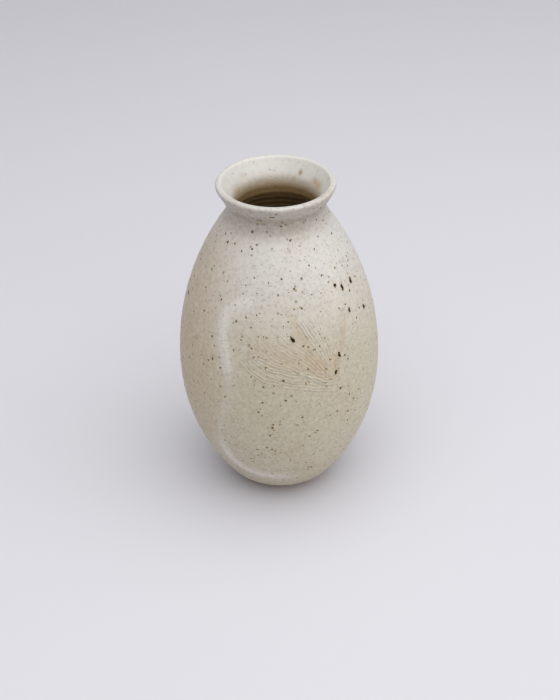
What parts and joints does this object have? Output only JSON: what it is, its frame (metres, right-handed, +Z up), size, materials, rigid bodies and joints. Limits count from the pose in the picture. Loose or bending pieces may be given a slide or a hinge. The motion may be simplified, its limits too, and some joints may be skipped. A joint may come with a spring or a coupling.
{
  "type": "stoneware vase",
  "caption": "Wheel-thrown egg-shaped stoneware vase with a small foot, short neck and flared mouth, in speckled satin glaze.",
  "frame": {"origin": "centre of the foot, on the surface that the vase stands on", "axes": "+Z up the pot's axis; -Y towards the decorated side, with the imprint and the glaze run; +X to the right of that side"},
  "size_m": [0.11, 0.11, 0.1855],
  "materials": {
    "bare_clay": "bare fired stoneware, matte and slightly gritty",
    "satin_glaze": "satin-matte oatmeal glaze with iron specks",
    "liner_glaze": "satin-matte oatmeal glaze, greyer and less specked",
    "thick_glaze": "thick pale run of the same glaze",
    "iron_melt": "dark brown melted iron, slightly glossy"
  },
  "bodies": {
    "root": {"clay_body": "bare_clay", "outer_glaze": "satin_glaze", "liner_glaze": "liner_glaze", "glaze_run": "thick_glaze", "iron_spots": "iron_melt"}
  },
  "joints": []
}
